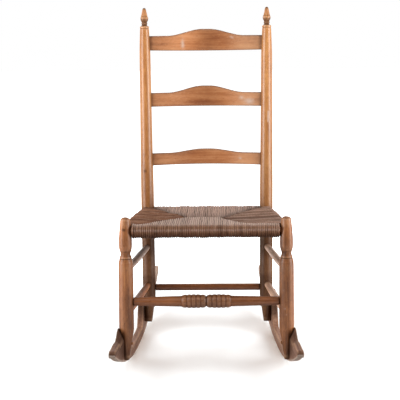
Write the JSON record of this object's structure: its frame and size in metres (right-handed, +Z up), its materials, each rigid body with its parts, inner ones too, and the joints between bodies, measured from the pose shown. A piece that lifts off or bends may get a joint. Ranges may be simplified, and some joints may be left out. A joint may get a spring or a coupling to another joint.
{
  "type": "ladder-back rocking chair",
  "caption": "Armless ladder-back rocking chair with turned posts, arched slats, a woven rush seat, stretchers and rockers let into the outer sides of the legs.",
  "frame": {"origin": "on the floor, under the middle of the chair's overall length and width", "axes": "+Z up, -Y the way the sitter faces, +X to the right as seen from the front"},
  "size_m": [0.498, 0.7648, 0.9604],
  "materials": {
    "post_wood": "satin",
    "slat_wood": "satin",
    "stretcher_wood": "satin",
    "rocker_wood": "matte",
    "rail_wood": "matte",
    "peg_wood": "matte",
    "rush": "matte"
  },
  "bodies": {
    "root": {"back_post_left": "post_wood", "back_post_right": "post_wood", "front_post_left": "post_wood", "front_post_right": "post_wood", "top_slat": "slat_wood", "middle_slat": "slat_wood", "bottom_slat": "slat_wood", "seat_rail_front": "rail_wood", "seat_rail_back": "rail_wood", "seat_rail_left": "rail_wood", "seat_rail_right": "rail_wood", "front_stretcher": "stretcher_wood", "back_stretcher": "stretcher_wood", "upper_stretcher_left": "stretcher_wood", "upper_stretcher_right": "stretcher_wood", "lower_stretcher_left": "stretcher_wood", "lower_stretcher_right": "stretcher_wood", "rocker_left": "rocker_wood", "rocker_right": "rocker_wood", "rush_seat": "rush", "front_rocker_peg_left": "peg_wood", "front_rocker_peg_right": "peg_wood", "back_rocker_peg_left": "peg_wood", "back_rocker_peg_right": "peg_wood", "slat_peg_left": "peg_wood", "slat_peg_right": "peg_wood"}
  },
  "joints": []
}
